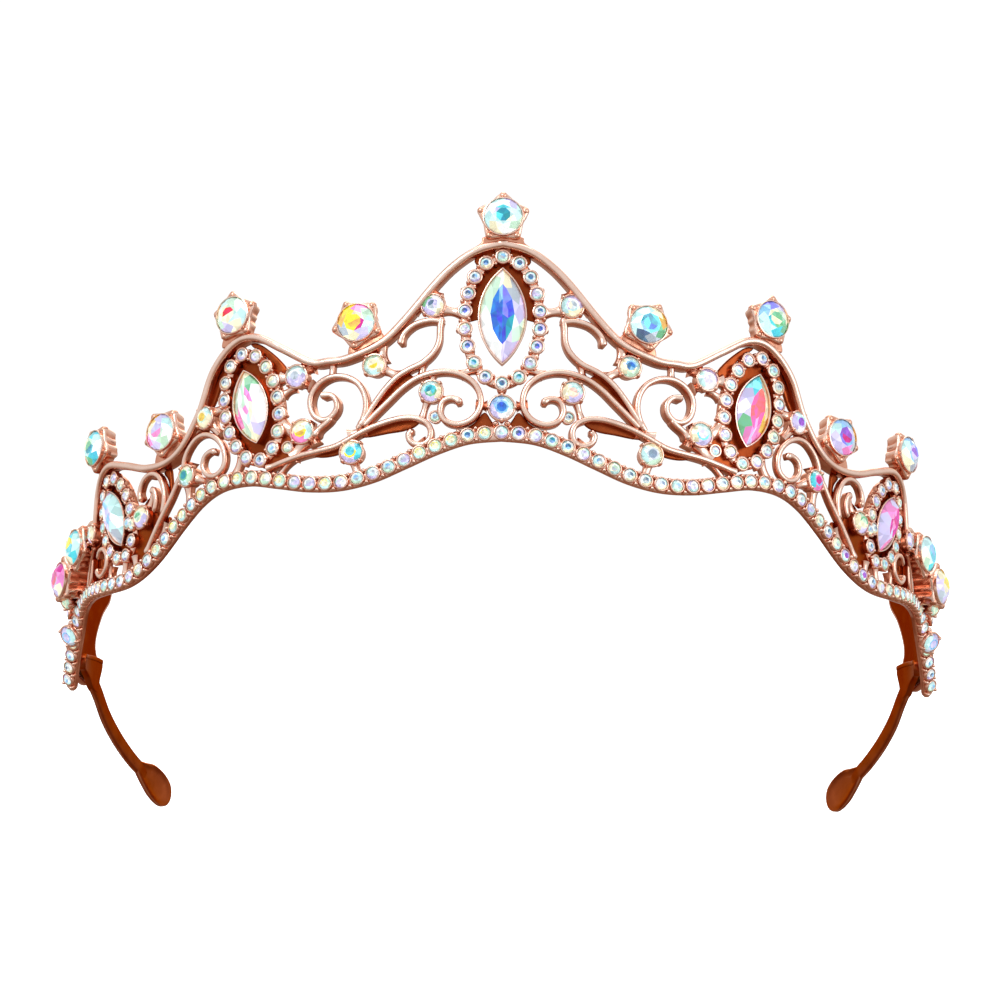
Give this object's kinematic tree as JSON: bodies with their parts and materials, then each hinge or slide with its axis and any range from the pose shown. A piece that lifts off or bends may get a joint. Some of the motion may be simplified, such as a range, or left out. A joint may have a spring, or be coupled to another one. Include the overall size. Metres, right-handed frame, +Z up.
{
  "type": "bridal tiara",
  "caption": "Bridal tiara in rose-gold alloy: arched openwork of scrolls, pointed-oval crystals in stone haloes, raised crystals on its edge, and sprung arms with ear pads.",
  "frame": {"origin": "on the surface the tiara stands on, midway between the two ear pads, where the wearer's head is held between the arms", "axes": "+X to the right as seen from the front, +Y from the decorated front to the back, +Z up"},
  "size_m": [0.1538, 0.0945, 0.1066],
  "materials": {
    "rose_gold": "polished rose-gold plating",
    "shaded_rose_gold": "plain darker rose-gold plating on the sprung arms",
    "clear_crystal": "cut clear crystal with a rainbow coating and foiled back",
    "blue_crystal": "cut crystal whose coating shines blue"
  },
  "bodies": {
    "crown": {"arm_tab_left": "shaded_rose_gold", "arm_tab_right": "shaded_rose_gold", "base_rail_left": "rose_gold", "base_rail_right": "rose_gold", "c_scroll_left": "rose_gold", "c_scroll_right": "rose_gold", "centre_marquise_setting": "rose_gold", "centre_marquise_stone": "blue_crystal", "crest_basket": "rose_gold", "crest_stone": "clear_crystal", "end_plate_left": "rose_gold", "end_plate_right": "rose_gold", "heart_scroll_left": "rose_gold", "heart_scroll_right": "rose_gold", "inner_marquise_left_setting": "rose_gold", "inner_marquise_left_stone": "clear_crystal", "inner_marquise_right_setting": "rose_gold", "inner_marquise_right_stone": "clear_crystal", "inner_peak_left_basket": "rose_gold", "inner_peak_left_stone": "clear_crystal", "inner_peak_right_basket": "rose_gold", "inner_peak_right_stone": "clear_crystal", "low_scroll_left": "rose_gold", "low_scroll_right": "rose_gold", "lower_centre_setting": "rose_gold", "lower_centre_stone": "clear_crystal", "middle_spiral_left": "rose_gold", "middle_spiral_right": "rose_gold", "outer_marquise_left_setting": "rose_gold", "outer_marquise_left_stone": "clear_crystal", "outer_marquise_right_setting": "rose_gold", "outer_marquise_right_stone": "clear_crystal", "outer_peak_left_basket": "rose_gold", "outer_peak_left_stone": "clear_crystal", "outer_peak_right_basket": "rose_gold", "outer_peak_right_stone": "clear_crystal", "outer_stem_left": "rose_gold", "outer_stem_right": "rose_gold", "shoulder_left_basket": "rose_gold", "shoulder_left_stone": "clear_crystal", "shoulder_right_basket": "rose_gold", "shoulder_right_stone": "clear_crystal", "side_lower_left_basket": "rose_gold", "side_lower_left_stone": "clear_crystal", "side_lower_right_basket": "rose_gold", "side_lower_right_stone": "clear_crystal", "side_spiral_left": "rose_gold", "side_spiral_right": "rose_gold", "side_upper_left_basket": "rose_gold", "side_upper_left_stone": "clear_crystal", "side_upper_right_basket": "rose_gold", "side_upper_right_stone": "clear_crystal", "temple_left_basket": "rose_gold", "temple_left_stone": "clear_crystal", "temple_right_basket": "rose_gold", "temple_right_stone": "clear_crystal", "top_wire_left": "rose_gold", "top_wire_right": "rose_gold"},
    "left_arm": {"arm_left": "shaded_rose_gold"},
    "right_arm": {"arm_right": "shaded_rose_gold"}
  },
  "joints": [
    {"name": "left_arm_flex", "type": "hinge", "parent": "crown", "child": "left_arm", "pos_m": [-0.07311, -0.01663, 0.02336], "axis": [0, 0.2079, 0.9781], "range_deg": [-3, 8], "stiffness_Nm_per_rad": 0.4},
    {"name": "right_arm_flex", "type": "hinge", "parent": "crown", "child": "right_arm", "pos_m": [0.07311, -0.01663, 0.02336], "axis": [0, -0.2079, -0.9781], "range_deg": [-3, 8], "stiffness_Nm_per_rad": 0.4}
  ]
}
